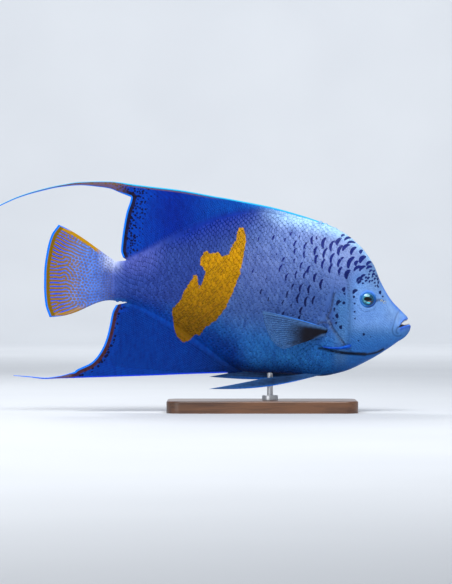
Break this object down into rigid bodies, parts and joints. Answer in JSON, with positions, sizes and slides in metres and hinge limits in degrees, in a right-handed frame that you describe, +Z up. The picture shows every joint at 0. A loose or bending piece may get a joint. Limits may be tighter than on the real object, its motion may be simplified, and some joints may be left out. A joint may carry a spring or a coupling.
{
  "type": "yellowbar (halfmoon) angelfish model on a display stand",
  "caption": "Life-size still model of a mature yellowbar (halfmoon) angelfish with trailing dorsal and anal streamers, held level by a short rod on a flat base.",
  "frame": {"origin": "centre of the underside of the stand's base, where it rests on the floor", "axes": "+X from the tail to the head, +Y to the fish's left side, +Z up"},
  "size_m": [0.4458, 0.087, 0.2306],
  "materials": {
    "body_skin": "scaly violet-blue skin with a yellow bar on the flank and navy scale edges on the nape",
    "fin_skin": "deep blue fin membrane with azure margins and dark spots",
    "tail_skin": "orange-yellow maze of stripes on pale blue",
    "cheek_spine": "smooth bright blue spine",
    "eye": "wet eye with a teal iris and a black pupil",
    "stand_wood": "dark stained wood, satin",
    "stand_metal": "brushed steel"
  },
  "bodies": {
    "root": {"head": "body_skin", "torso": "body_skin", "tail_stem": "body_skin", "gill_cover_left": "body_skin", "gill_cover_right": "body_skin", "upper_jaw": "body_skin", "lower_jaw": "body_skin", "cheek_spine_left": "cheek_spine", "cheek_spine_right": "cheek_spine", "eye_left": "eye", "eye_right": "eye", "dorsal_fin_spiny": "fin_skin", "dorsal_fin_soft": "fin_skin", "dorsal_streamer": "fin_skin", "anal_fin": "fin_skin", "anal_streamer": "fin_skin", "tail_fin": "tail_skin", "pectoral_fin_left": "fin_skin", "pectoral_fin_right": "fin_skin", "pelvic_fin_left": "fin_skin", "pelvic_fin_right": "fin_skin", "stand_base": "stand_wood", "stand_collar": "stand_metal", "stand_rod": "stand_metal"}
  },
  "joints": []
}
